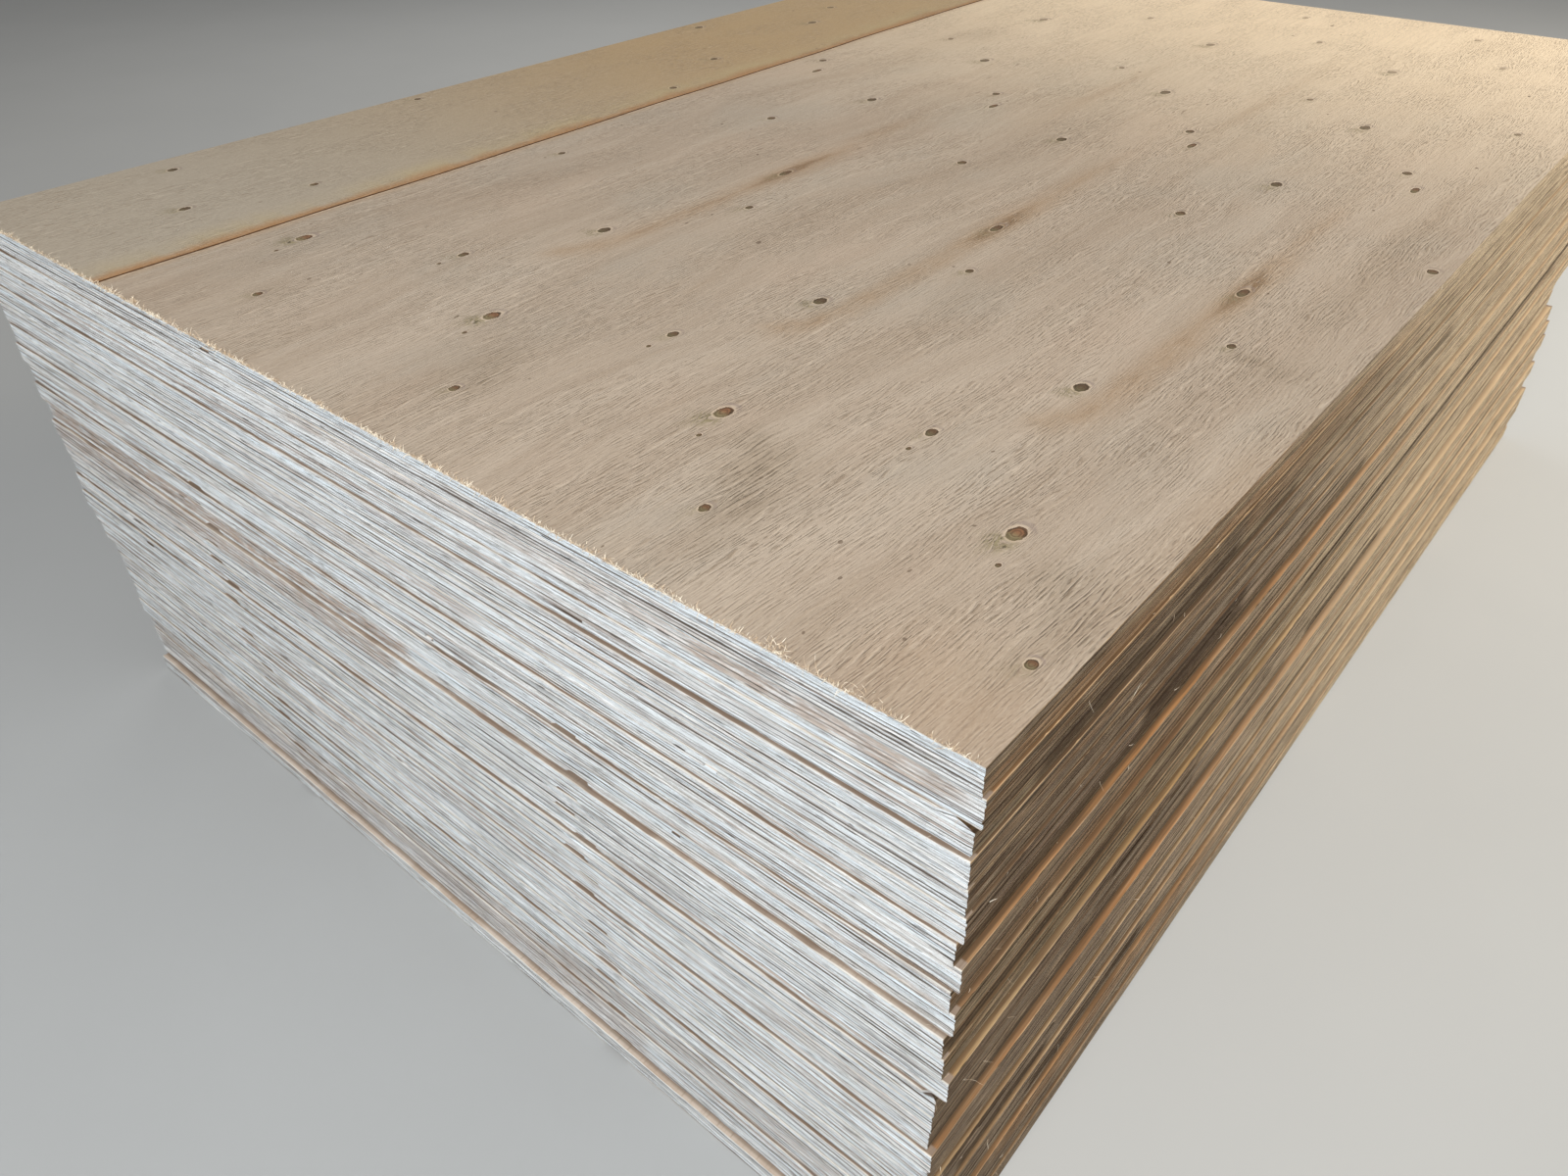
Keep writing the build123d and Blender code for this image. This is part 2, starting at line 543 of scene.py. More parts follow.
class Graph:
    """The nodes of a new material or world, and the colour that its layers have come to."""

    def __init__(self, owner):
        self.owner = owner
        owner.use_nodes = True
        self.nodes = owner.node_tree.nodes
        self.links = owner.node_tree.links
        self.nodes.clear()
        self.colour = None

    def add(self, kind, inputs, **settings):
        """A new node. An input is a number, a colour or a Value."""
        made = self.nodes.new("ShaderNode" + kind)
        for name, value in settings.items():
            setattr(made, name, value)
        for key, value in inputs.items():
            socket = made.inputs[key]
            if isinstance(value, Value):
                self.links.new(value.socket, socket)
            elif socket.type == "RGBA":
                socket.default_value = (*value, 1)
            else:
                socket.default_value = value
        return made

    def value(self, kind, inputs, output=0, **settings):
        return Value(self, self.add(kind, inputs, **settings).outputs[output])

    def attribute(self, name, output="Fac"):
        return self.value("Attribute", {}, output, attribute_name=name)

    def math(self, operation, a, b=0):
        return self.value("Math", {0: a, 1: b}, operation=operation)

    def split(self, vector):
        return [Value(self, socket) for socket in self.add("SeparateXYZ", {0: vector}).outputs]

    def join(self, x, y, z=0):
        return self.value("CombineXYZ", {0: x, 1: y, 2: z})

    def noise(self, vector, scale, detail=2, roughness=0.5):
        """Noise over a vector, with its own scale along each axis."""
        scale = (*scale, 1)[:3]
        vector = self.value("VectorMath", {0: vector, 1: scale}, operation="MULTIPLY")
        return self.unscaled_noise(vector, detail, roughness)

    def unscaled_noise(self, vector, detail, roughness):
        inputs = {"Vector": vector, "Scale": 1, "Detail": detail, "Roughness": roughness}
        return self.value("TexNoise", inputs, "Fac", noise_dimensions="3D")

    def random(self, value):
        return self.value("TexWhiteNoise", {"W": value}, "Value", noise_dimensions="1D")

    def blend(self, factor, a, b):
        return self.value("Mix", {0: factor, 6: a, 7: b}, 2, data_type="RGBA")

    def paint(self, factor, colour):
        """Lays a colour over what is there."""
        self.colour = self.blend(factor, self.colour, colour)

    def tint(self, value, low, high, strength, colour):
        """Lays a colour where the value goes from low to high."""
        self.paint(value.span(low, high, 0, strength), colour)

    def finish(self, height, bump, roughness=0.85, specular=0.1):
        """The material of the colour so far, with relief from the height, bump metres for 1."""
        normal = self.value("Bump", {"Height": height, "Distance": bump, "Strength": 1})
        shader = self.value("BsdfPrincipled", {
            "Base Color": self.colour,
            "Roughness": roughness,
            "Specular IOR Level": specular,
            "Normal": normal,
        })
        self.add("OutputMaterial", {"Surface": shader}, is_active_output=True)
        return self.owner


def show_face():
    """The top veneer of the stack: pale, with knots, checks, streaks and stains, and painted light that
    pales it towards the far end.
    """
    g = Graph(bpy.data.materials.new("top_veneer"))
    grain = g.attribute("grain", "Vector")
    across, along, _ = g.split(grain)
    sway = g.noise(grain, (2.2, 2.8))
    swayed = g.join(across + sway * 0.16, along)
    wide = g.noise(swayed, (9, 0.9))
    streak = g.noise(swayed, (60, 3.4), 3, 0.55)
    hair = g.noise(grain, (430, 10), 2, 0.6)
    cloud = g.noise(grain, (16, 7))
    patch = g.noise(grain, (6, 3.5), 3, 0.6)
    fuzz = g.noise(grain, (900, 260), 2, 0.6)
    dash = g.noise(grain, (540, 84), 2, 0.6)
    bend = g.noise(grain, (90, 14), 1)

    # Peeling checks: short dark dashes with pale crests between them, the crests painted as highlights,
    # and coarse ones in the smudges
    smudge = g.attribute("smudge")
    coarse = g.math("SINE", across * 1560 + bend * 22)
    ridge = coarse.span(-0.1, 0.7) * smudge * dash.span(0.4, 0.6, 0.25, 1)
    fine = g.math("SINE", across * 2200 + bend * 30)
    zone = cloud.span(0.36, 0.62, 0.35, 1)
    checks = dash.span(0.44, 0.6) * fine.span(0.1, 0.8) * zone
    crests = dash.span(0.42, 0.58) * fine.span(-0.1, -0.8) * zone

    # Wood, from wide to fine
    tone = (wide * 0.6 + streak * 0.4).span(0.33, 0.67)
    g.colour = g.blend(tone, (0.395, 0.328, 0.262), (0.308, 0.242, 0.184))
    g.tint(patch, 0.48, 0.66, 0.5, (0.322, 0.284, 0.236))
    g.tint(patch, 0.46, 0.3, 0.5, (0.395, 0.306, 0.236))
    # Painted light: the face grows paler towards the far end, as a glow of light falling there
    further = along.span(0.7, 1.8)
    g.paint(further * 0.85, (0.82, 0.665, 0.47))
    g.tint(hair, 0.35, 0.75, 0.24, (0.33, 0.25, 0.175))
    stain = g.attribute("stain")
    g.paint(stain * 0.85, (0.27, 0.168, 0.088))
    g.tint(stain, 0.56, 0.95, 0.75, (0.155, 0.092, 0.048))

    # The left veneer, with yellow and rust along the joint
    joint = g.attribute("joint")
    left_of_joint = joint.span(-0.0002, 0.0002)
    left_veneer = g.blend(along.span(0.15, 1), (0.318, 0.278, 0.222), (0.342, 0.236, 0.118))
    g.paint(left_of_joint * 0.9, left_veneer)
    bleed = g.unscaled_noise(g.join(along * 9, 0.5), 3, 0.6)
    yellow = left_of_joint * joint.span(0.062, 0.015) * bleed.span(0.4, 0.6, 0.15, 0.8)
    g.paint(yellow, (0.37, 0.295, 0.165))
    rust_reach = bleed.span(0.35, 0.65, 0.016, 0.034)
    g.paint(left_of_joint * (joint / rust_reach).span(1, 0.1), (0.305, 0.16, 0.066))
    right_rust = joint.span(-0.016, -0.002, 0, 0.4) * (1 - left_of_joint)
    g.paint(right_rust, (0.37, 0.235, 0.13))

    g.paint(smudge * 0.5, (0.245, 0.185, 0.125))
    g.paint(ridge * 0.95, (0.1, 0.072, 0.046))
    g.paint(checks * 0.6, (0.18, 0.13, 0.086))
    # Painted highlight on the crests between the checks
    g.paint(crests * 0.3, (0.6, 0.505, 0.4))
    g.tint(fuzz, 0.3, 0.75, 0.16, (0.62, 0.52, 0.41))
    specks = g.noise(grain, (95, 60), 1).span(0.775, 0.8)
    g.paint(specks * 0.8, (0.14, 0.1, 0.07))

    # Knots, measured in their own radii: the mottled tail below, the arc above, the halo and the core
    wobble = g.noise(grain, (330, 330), 1)
    knot = g.attribute("knot") + wobble.line(0.2, 0.8, -0.14, 0.14)
    up = g.attribute("up")
    red = g.attribute("red")
    tail = g.attribute("tail")
    mottle = g.noise(grain, (520, 190), 2, 0.6)
    marks = g.noise(grain, (760, 150), 2, 0.6)
    mottled_tail = tail * mottle.span(0.36, 0.58)
    g.paint(mottled_tail * 0.9, (0.235, 0.195, 0.115))
    g.paint(tail * tail * marks.span(0.56, 0.64) * 0.9, (0.085, 0.068, 0.045))
    arc = knot.span(1.35, 1.6) * knot.span(2.15, 1.8) * up.span(0.3, 1.4)
    g.paint(arc * mottle.span(0.34, 0.6, 0.2, 1) * 0.7, (0.25, 0.195, 0.165))
    halo = knot.span(1.04, 1.16) * knot.span(1.45, 1.22)
    g.paint(halo * 0.45, (0.56, 0.445, 0.33))
    upper = g.blend(red, (0.078, 0.058, 0.036), (0.205, 0.102, 0.054))
    lower = g.blend(red, (0.11, 0.088, 0.05), (0.2, 0.16, 0.088))
    core = g.blend(up.span(0.35, -0.6), upper, lower)
    ring = knot.span(0.28, 0.42) * knot.span(0.62, 0.5)
    core = g.blend(ring * 0.6, core, (0.09, 0.05, 0.03))
    rim = knot.span(0.66, 0.82) * knot.span(1.14, 1.02) * up.span(-0.9, 0.4, 0.4, 1)
    core = g.blend(rim * mottle.span(0.3, 0.55, 0.45, 1), core, (0.058, 0.037, 0.022))
    # The knot cores fade far away under the painted glow
    g.paint(knot.span(1.12, 1) * further.span(0, 1, 1, 0.55), core)

    # The open joint and its pale torn lip
    wave = g.unscaled_noise(g.join(along * 60, 0), 3, 0.6)
    offset = joint + wave.line(0.2, 0.8, -0.0006, 0.0006)
    g.paint(g.math("ABSOLUTE", offset).span(0.0022, 0.0014), (0.07, 0.034, 0.015))
    lip = offset.span(-0.0018, -0.0022) * offset.span(-0.0036, -0.0027)
    g.paint(lip * wave.span(0.42, 0.6), (0.62, 0.5, 0.37))

    height = checks * -0.55 + crests * 0.35 + ridge * -0.7 + hair * 0.3 + fuzz * 0.35
    return g.finish(height + mottled_tail * -0.5, bump=0.0006)


def face_inside():
    """A face between two sheets, of which a ledge shows: sealer on its rim, bare wood behind."""
    g = Graph(bpy.data.materials.new("covered_veneer"))
    left, far, number = g.split(g.attribute("spot", "Vector"))
    side_near, side_far, end_open = g.split(g.attribute("open", "Vector"))
    length, width = lays[TOP_SHEET].length, lays[TOP_SHEET].width
    from_end = g.math("MINIMUM", far, length - far)
    from_side = g.math("MINIMUM", left, width - left)
    side_open = side_near + far / length * (side_far - side_near)
    place = g.join(left, far, number)
    streak = g.noise(place, (60, 2, 7))
    hair = g.noise(place, (420, 12, 7), 2, 0.6)
    cloud = g.noise(place, (11, 5, 3.3), 3, 0.6)

    # Ledges along the sides: each sheet's own tone, paler far away, partly their own tone and partly
    # painted light, and painted shade under the sheet above
    ledge = g.attribute("ledge", "Color")
    g.colour = g.blend(streak.span(0.4, 0.65, 0, 0.65), ledge, (0.21, 0.12, 0.062))
    g.tint(cloud, 0.46, 0.64, 0.4, (0.3, 0.235, 0.15))
    g.tint(hair, 0.45, 0.65, 0.7, (0.14, 0.08, 0.042))
    g.tint(hair, 0.42, 0.3, 0.4, (0.52, 0.37, 0.22))
    g.tint(far, 0.3, 1.1, 0.95, (0.5, 0.38, 0.245))
    # Painted shade on the ledge under the sheet above, weaker far away
    covered = (from_side / g.math("MAXIMUM", side_open, 0.0003)).span(0.25, 1)
    g.paint(covered * far.span(0.3, 1.2, 0.8, 0.45), (0.095, 0.056, 0.03))

    # Ledges along the ends, bare wood darkened partly by painted shade, pale on the lowest sheet
    lowest = number.span(25.4, 25.6)
    dark = g.blend(lowest, (0.27, 0.2, 0.15), (0.5, 0.395, 0.31))
    light = g.blend(lowest, (0.44, 0.36, 0.29), (0.64, 0.54, 0.45))
    end_ledge = g.blend(cloud.span(0.4, 0.6), dark, light)
    end_ledge = g.blend(hair.span(0.5, 0.7, 0, 0.5), end_ledge, (0.24, 0.17, 0.12))
    # Painted shade on the end ledges, deepest under the sheet above
    covered = (from_end / g.math("MAXIMUM", end_open, 0.0003)).span(0.45, 1)
    end_ledge = g.blend(covered * 0.6, end_ledge, (0.17, 0.12, 0.085))
    g.paint(from_end.span(0.0085, 0.0065), end_ledge)

    # Painted highlight on the arris along the sides, and sealer over the arris of the ends
    reach = cloud.span(0.36, 0.64, 0.0003, 0.0012)
    # Painted highlight where light catches the side arris
    g.paint((from_side / reach).span(1.1, 0.6) * 0.6, (0.54, 0.39, 0.24))
    g.paint((from_end / reach).span(1.3, 0.7) * 0.9, (0.8, 0.775, 0.72))
    return g.finish(hair, bump=0.0005)


def ply_facts(g):
    """What both edge materials read of a place: its strip, ply, distance to the glue and more."""
    along, layer, inset = g.split(g.attribute("strip", "Vector"))
    inside = g.math("FRACT", layer)
    to_glue = g.math("MINIMUM", inside, 1 - inside)
    in_sheet = g.math("MODULO", layer, PLY_COUNT)
    from_middle = g.math("ABSOLUTE", g.math("FLOOR", in_sheet) - (PLY_COUNT - 1) / 2)
    crosswise = g.math("LESS_THAN", g.math("MODULO", from_middle, 2), 1)
    return g.join(along, layer), layer, inset, g.math("FLOOR", layer), to_glue, in_sheet, crosswise


def sealed_end():
    """The short ends: white sealer over the plies, thin in places, gone in the bites."""
    g = Graph(bpy.data.materials.new("sealed_end"))
    place, layer, inset, ply, to_glue, in_sheet, crosswise = ply_facts(g)
    first = g.random(ply)
    second = g.random(ply + 0.37)
    bands = g.noise(place, (3, 0.75))
    lines = g.noise(place, (6.5, 3.4), 3, 0.6)
    threads = g.noise(place, (26, 11), 3, 0.65)
    grit = g.noise(place, (820, 4), 2, 0.6)
    veil = g.noise(place, (45, 1.3), 3, 0.65)

    # Sealer and stains
    cover = (first * 0.44 + bands * 0.9 + lines * 0.9 + threads * 0.45).span(1.03, 1.19)
    thin = g.blend(second, (0.58, 0.43, 0.335), (0.47, 0.445, 0.425))
    white = g.blend(second, (0.94, 0.93, 0.91), (0.85, 0.92, 0.97))
    g.colour = g.blend(cover, thin, white)
    g.paint(g.attribute("edge_stain") * veil.span(0.36, 0.58, 0.25, 1), (0.5, 0.365, 0.275))
    sap = threads.span(0.58, 0.64, 0, 0.8) * bands.span(0.5, 0.58)
    g.paint(sap, (0.64, 0.545, 0.37))

    # Dark fibres, pores and glue lines
    g.tint(threads, 0.44, 0.39, 0.95, (0.16, 0.136, 0.122))
    g.tint(lines, 0.43, 0.365, 0.9, (0.21, 0.17, 0.142))
    g.paint(grit.span(0.5, 0.7, 0, 0.65) * (1 - crosswise), (0.38, 0.33, 0.3))
    glue_reach = g.random(g.math("ROUND", layer) + 0.19).line(0, 1, 0.02, 0.22)
    glue = (to_glue / glue_reach).span(1.2, 0.6) * lines.span(0.62, 0.49)
    g.paint(glue, (0.125, 0.098, 0.08))
    slits = g.noise(place, (40, 2.2), 1).span(0.695, 0.71)
    g.paint(slits * 0.95, (0.055, 0.042, 0.035))
    specks = g.noise(place, (150, 4.6), 1).span(0.745, 0.765)
    g.paint(specks * 0.9, (0.11, 0.078, 0.06))

    # Upper arris in pale sealer with a painted highlight, worn lower arris, bites, and painted shade deep
    # in the gaps
    # Pale sealer on the upper arris, partly a painted highlight
    rim = in_sheet.span(0.24, 0.12) * threads.span(0.35, 0.55, 0.3, 0.9)
    g.paint(rim, (0.88, 0.85, 0.79))
    worn = in_sheet.span(7.66, 7.8) * bands.span(0.36, 0.56, 0.25, 0.95)
    g.paint(worn, (0.7, 0.56, 0.43))
    bare_wood = g.blend(veil.span(0.3, 0.7), (0.78, 0.625, 0.47), (0.58, 0.435, 0.315))
    g.paint(inset.span(0.0015, 0.0026), bare_wood)
    # Painted shade deep inside the open gaps
    g.paint(inset.span(0.009, 0.02), (0.03, 0.022, 0.018))

    height = lines * 1.4 + threads + grit * 0.25 - slits * 0.8 - glue * 0.5
    return g.finish(height, bump=0.001, roughness=0.8, specular=0.15)


def raw_side():
    """The long sides: bare plies, greyed by dust, with long lines, paler towards the far end, partly in
    their own tone and partly by painted light.
    """
    g = Graph(bpy.data.materials.new("raw_side"))
    place, layer, inset, ply, to_glue, in_sheet, crosswise = ply_facts(g)
    _, far, _ = g.split(g.attribute("spot", "Vector"))
    bands = g.noise(place, (2.2, 0.45))
    lines = g.noise(place, (6, 4), 3, 0.62)
    threads = g.noise(place, (20, 11), 2, 0.6)
    pores = g.noise(place, (700, 5), 2, 0.6)
    flakes = g.noise(place, (130, 2.6), 3, 0.65)

    # The sheet's tone, some plies pale or dark, orange and grey bands, paler low down
    tone = g.attribute("tone", "Color")
    g.colour = g.blend(g.random(ply).span(0.45, 0.9, 0, 0.85), tone, (0.41, 0.3, 0.175))
    g.tint(g.random(ply + 0.61), 0.5, 0.85, 0.9, (0.08, 0.048, 0.028))
    g.tint(bands, 0.52, 0.64, 0.65, (0.33, 0.175, 0.078))
    g.tint(bands, 0.46, 0.36, 0.5, (0.26, 0.215, 0.16))
    g.tint(layer, 90, 150, 0.6, (0.38, 0.312, 0.244))
    stain = g.attribute("edge_stain")
    warm = g.math("MAXIMUM", stain * -1, 0) * lines.span(0.35, 0.6, 0.4, 1)
    g.paint(warm, (0.4, 0.205, 0.085))

    # Darker near the corner and paler far away, partly the wood's own tone and partly painted light and
    # shade; the dark marks weaken far away too
    # Painted shade near the corner, partly the wood's own darker tone
    g.tint(far, 0.5, 0, 0.42, (0.075, 0.044, 0.023))
    # Painted light towards the far end, partly the wood's own paler tone
    paler = (far + bands * 0.6).span(0.5, 1.3, 0, 0.85)
    g.paint(paler, (0.75, 0.6, 0.41))
    keep = 1 - paler * 0.45

    # Long dark and pale lines, flakes and pores
    g.paint(lines.span(0.48, 0.4) * keep, (0.05, 0.03, 0.016))
    g.tint(lines, 0.54, 0.66, 0.5, (0.42, 0.3, 0.18))
    g.tint(threads, 0.55, 0.64, 0.8, (0.56, 0.43, 0.29))
    g.paint(threads.span(0.45, 0.39) * keep, (0.045, 0.027, 0.015))
    g.paint(flakes.span(0.52, 0.7, 0, 0.35) * crosswise, (0.32, 0.25, 0.175))
    g.tint(pores, 0.5, 0.75, 0.25, (0.11, 0.078, 0.052))
    dark = g.math("MAXIMUM", stain, 0) * flakes.span(0.62, 0.44, 0.7, 1)
    g.paint(dark * lines.span(0.62, 0.5, 0.6, 1), (0.052, 0.029, 0.013))

    # Glue lines, a painted highlight on the upper arris, shade below, and painted shade deep in the
    # breaks
    glue_reach = g.random(g.math("ROUND", layer) + 0.29).line(0, 1, 0.02, 0.2)
    glue = (to_glue / glue_reach).span(1.2, 0.5) * lines.span(0.66, 0.44)
    g.paint(glue * 0.9, (0.04, 0.026, 0.016))
    # Painted highlight on the upper arris
    rim = in_sheet.span(0.2, 0.08) * bands.span(0.44, 0.6, 0.05, 0.8)
    g.paint(rim, (0.6, 0.4, 0.22))
    under = in_sheet.span(7.2, 7.9) * bands.span(0.6, 0.44, 0.2, 0.85)
    g.paint(under * keep, (0.06, 0.036, 0.02))
    # Painted shade deep in the breaks
    g.paint(inset.span(0.0018, 0.0035), (0.035, 0.024, 0.016))

    height = lines * 1.5 + threads * 0.9 + pores * 0.3 + flakes * 0.5 - glue * 0.6
    return g.finish(height, bump=0.0011)


def bare_fibre():
    """Torn fibres and splinters."""
    g = Graph(bpy.data.materials.new("bare_fibre"))
    tone = g.noise(g.value("TexCoord", {}, "Object"), (260, 260, 260), 1)
    g.colour = g.blend(tone.span(0.4, 0.62), (0.56, 0.43, 0.3), (0.88, 0.8, 0.66))
    return g.finish(tone, bump=0.0001, roughness=0.8)


# The knots of the top face in mm: distance from the left edge, distance from the near end,
# half width, half length, redness, strength of the mottled tail

# Rows in the wide veneer, where each knot comes back to the right once for each turn of the log
KNOT_ROWS = [
    (428, 80, 3.6, 4.4, 0.6, 0.4),
    (341, 180, 5.6, 8, 1, 1),
    (496, 250, 3.8, 5.6, 0.3, 0.4),
    (553, 375, 5, 6.6, 0.1, 0.8),
    (338, 510, 3.4, 4.6, 0.2, 0.6),
    (582, 615, 4, 9, 0.4, 0.5),
    (436, 763, 4.6, 5.6, 0.4, 0.3),
    (484, 905, 5.2, 7.2, 0.1, 0.6),
    (309, 1025, 4.6, 6, 0.3, 0.3),
    (338, 975, 3.6, 9, 0.6, 0.2),
    (490, 1165, 5.6, 8.6, 0.2, 0.6),
    (380, 1245, 3.6, 5, 0.5, 0.4),
    (424, 1445, 5.6, 8, 0.2, 0.6),
    (553, 1555, 3.8, 6, 0.4, 0.3),
    (471, 1705, 4, 6, 0.4, 0.3),
]
TURN_AT_START = 285
TURN_START = 320
TURN_LOSS = 0.0745

# Knots of the narrow veneer, left of the joint
LEFT_KNOTS = [
    (98, 1312, 5, 6, 0.3, 0.4),
    (145, 1205, 5.4, 8, 0.1, 0.6),
    (25, 1070, 5, 7, 0.3, 0.4),
    (180, 937, 4.6, 5.6, 0.3, 0.5),
    (242, 790, 4.4, 5.4, 0.5, 0.3),
    (18, 545, 3.6, 4.4, 0.3, 0.4),
    (210, 273, 3.6, 4.6, 0.4, 0.3),
    (42, 202, 4.6, 5.4, 0, 0.6),
    (172, 148, 4.6, 6, 0.1, 0.8),
    (60, 1466, 4.8, 6.4, 0.3, 0.4),
    (204, 1548, 4.2, 5.4, 0.5, 0.4),
    (128, 1688, 4.6, 6, 0.3, 0.5),
]

# Pips below the big knots
PIP_BELOW = {180: (8.5, -35), 250: (0, -28)}
PIP_HALF = (1.7, 2.3)

# Stains: left edge distance, near end distance, half width, half length, strength
ROW_STAINS = [
    (582, 625, 13, 120, 1),
    (584, 480, 12, 100, 0.75),
    (583, 400, 12, 60, 0.75),
    (577, 345, 11, 30, 0.75),
    (566, 318, 10, 18, 0.7),
    (556, 310, 9, 16, 0.65),
    (577, 790, 11, 95, 0.55),
]
SMUDGES = [
    (932, 160, 19, 18, 0.8),
    (956, 135, 24, 34, 1),
    (976, 100, 20, 30, 0.8),
    (990, 55, 14, 34, 0.4),
    (690, 120, 16, 34, 0.6),
    (716, 98, 16, 26, 0.6),
    (1176, 150, 20, 24, 0.7),
    (1200, 128, 22, 44, 0.8),
    (1190, 80, 16, 30, 0.4),
    (1152, 497, 20, 9, 0.9),
    (1180, 488, 26, 12, 0.6),
    (430, 90, 30, 26, 0.3),
    (915, 600, 8, 320, 0.25),
    (1165, 720, 12, 200, 0.35),
    (760, 960, 40, 160, 0.25),
    (400, 1290, 36, 60, 0.3),
    (1020, 1660, 30, 60, 0.2),
    (660, 1040, 30, 90, 0.2),
]
SINGLE_STAINS = [
    (75, 680, 14, 26, 0.4),
    (135, 410, 12, 16, 0.35),
    (1190, 30, 70, 60, 0.4),
    (1215, 300, 16, 260, 0.35),
    (1160, 800, 30, 200, 0.2),
    (700, 1150, 10, 160, 0.35),
    (880, 1180, 9, 180, 0.3),
]


def repeats(first, width):
    """Distances from the left edge at which a knot comes back."""
    place = first
    while place < width:
        yield place
        place += TURN_AT_START - TURN_LOSS * (place - TURN_START)


def all_knots(width):
    """Every knot of the top face in metres, with the distances measured as the sheet's are."""
    found = []
    for first, far, *rest in KNOT_ROWS:
        for place in repeats(first, width / MM):
            found.append((place, far, *rest))
            if far in PIP_BELOW:
                right, up = PIP_BELOW[far]
                found.append((place + right, far + up, *PIP_HALF, 0.3, 0))
    found += LEFT_KNOTS
    return [(width - x * MM, far * MM, w * MM, h * MM, red, tail) for x, far, w, h, red, tail in found]


# The top face as a mesh that is finer round the knots and along the joint

FACE_STEP = 13 * MM
FACE_SCATTER = 0.2
JOINT_FROM_NEAR = 6 * MM
JOINT_FROM_FAR = 5 * MM
CLEAR_OF_JOINT = 5 * MM
CLEAR_OF_EDGE = 3.2 * MM
CLEAR_OF_KNOT = 3.5
KNOT_RINGS = (0, 0.3, 0.55, 0.78, 0.93, 1.02, 1.14, 1.3, 1.55, 1.95, 2.5, 3.2)
KNOT_SPOKES = 20
FAR_FROM_KNOT = 9.0

# The face's slight wave, and its dips round a knot: depth in mm, place and half width in the knot's radii
FACE_SAG = 0.09 * MM
SAG_STARTS = 60 * MM
KNOT_DIPS = [
    (0.35, 1.02, 0.09),
    (0.12, 1.6, 0.4),
]


def knot_distance(left, far, knots):
    """Nearest knot by point: distance in its radii and redness; then the tails, and the height in it."""
    nearest = np.full(left.shape, FAR_FROM_KNOT)
    red = np.zeros(left.shape)
    tail = np.zeros(left.shape)
    up = np.zeros(left.shape)
    for x, y, w, h, redness, tail_size in knots:
        gone = np.hypot((left - x) / w, (far - y) / h)
        closer = gone < nearest
        nearest = np.where(closer, gone, nearest)
        red = np.where(closer, redness, red)
        up = np.where(closer, (far - y) / h, up)
        below = np.hypot((left - x - 0.6 * w) / (1.8 * w), (far - y + 1.9 * h) / (1.2 * h))
        tail = np.maximum(tail, tail_size * (1 - smooth(below, 0.5, 1.5)))
    return nearest, red, tail, up


def grain_line(left, far, knots):
    """The cross-grain coordinate, which bends round the knots."""
    across = left + 9 * MM * np.sin(far * 2.1 + left * 3) + 3 * MM * np.sin(far * 6.3 - left * 7)
    for x, y, w, h, _, _ in knots:
        side = (left - x) / (2.2 * w)
        bulge = np.exp(-side ** 2 - ((far - y) / (3.2 * h)) ** 2)
        across = across - np.tanh(side * 2.5) * bulge * 1.1 * w
    return across


def face_points(lay, knots):
    """Points inside the top face: along the joint, round the knots and on a loose grid."""
    rng = np.random.default_rng(41)
    places = []
    joint_fars = np.arange(JOINT_FROM_NEAR, lay.length - JOINT_FROM_FAR, JOINT_STEP * MM)
    for offset, _ in JOINT_PROFILE:
        lefts = joint_left(joint_fars, lay.length) + offset * MM
        places.append(np.stack([lefts, joint_fars], -1))
    for x, y, w, h, _, _ in knots:
        for ring in KNOT_RINGS:
            spokes = 1 if ring == 0 else KNOT_SPOKES
            turn = np.arange(spokes) * 2 * np.pi / spokes + ring
            places.append(np.stack([x + ring * w * np.cos(turn), y + ring * h * np.sin(turn)], -1))
    columns = np.arange(FACE_STEP, lay.width - FACE_STEP / 2, FACE_STEP)
    rows = np.arange(FACE_STEP, lay.length - FACE_STEP / 2, FACE_STEP)
    grid = np.stack(np.meshgrid(columns, rows), -1).reshape(-1, 2)
    grid = grid + rng.uniform(-FACE_SCATTER, FACE_SCATTER, grid.shape) * FACE_STEP
    from_knot, _, _, _ = knot_distance(grid[:, 0], grid[:, 1], knots)
    from_joint = abs(grid[:, 0] - joint_left(grid[:, 1], lay.length))
    places.append(grid[(from_knot > CLEAR_OF_KNOT) & (from_joint > CLEAR_OF_JOINT)])
    places = np.concatenate(places)
    size = np.array([lay.width, lay.length])
    return places[(places > CLEAR_OF_EDGE).all(1) & (places < size - CLEAR_OF_EDGE).all(1)]


def spots(left, far, rows, width):
    """Soft oval spots, of which the strongest counts where they overlap."""
    total = np.zeros(left.shape)
    for x, y, w, h, strength in rows:
        gone = ((left - (width - x * MM)) / (w * MM)) ** 2 + ((far - y * MM) / (h * MM)) ** 2
        total = np.maximum(total, strength * np.exp(-gone))
    return total


def face_looks(lay, left, far, knots):
    """What the top face's material reads at each point."""
    nearest, red, tail, up = knot_distance(left, far, knots)
    row_stains = [
        (place, *rest) for first, *rest in ROW_STAINS for place in repeats(first, lay.width / MM)
    ]
    return {
        "knot": nearest,
        "red": red,
        "tail": tail,
        "up": np.clip(up, -3, 3),
        "smudge": spots(left, far, SMUDGES, lay.width),
        "stain": spots(left, far, row_stains + SINGLE_STAINS, lay.width),
        "joint": left - joint_left(far, lay.length),
    }


def face_drop(lay, left, far, knot):
    """How far each point of the top face lies below the level of its edges."""
    drop = joint_depth(left - joint_left(far, lay.length))
    to_edge = np.minimum(np.minimum(left, lay.width - left), np.minimum(far, lay.length - far))
    sag = 1 + np.sin(left * 41 + 1.5 * np.sin(far * 5))
    drop = drop + FACE_SAG * sag * smooth(to_edge, 0, SAG_STARTS)
    for depth, place, half in KNOT_DIPS:
        drop = drop + depth * MM * np.exp(-((knot - place) / half) ** 2)
    return drop


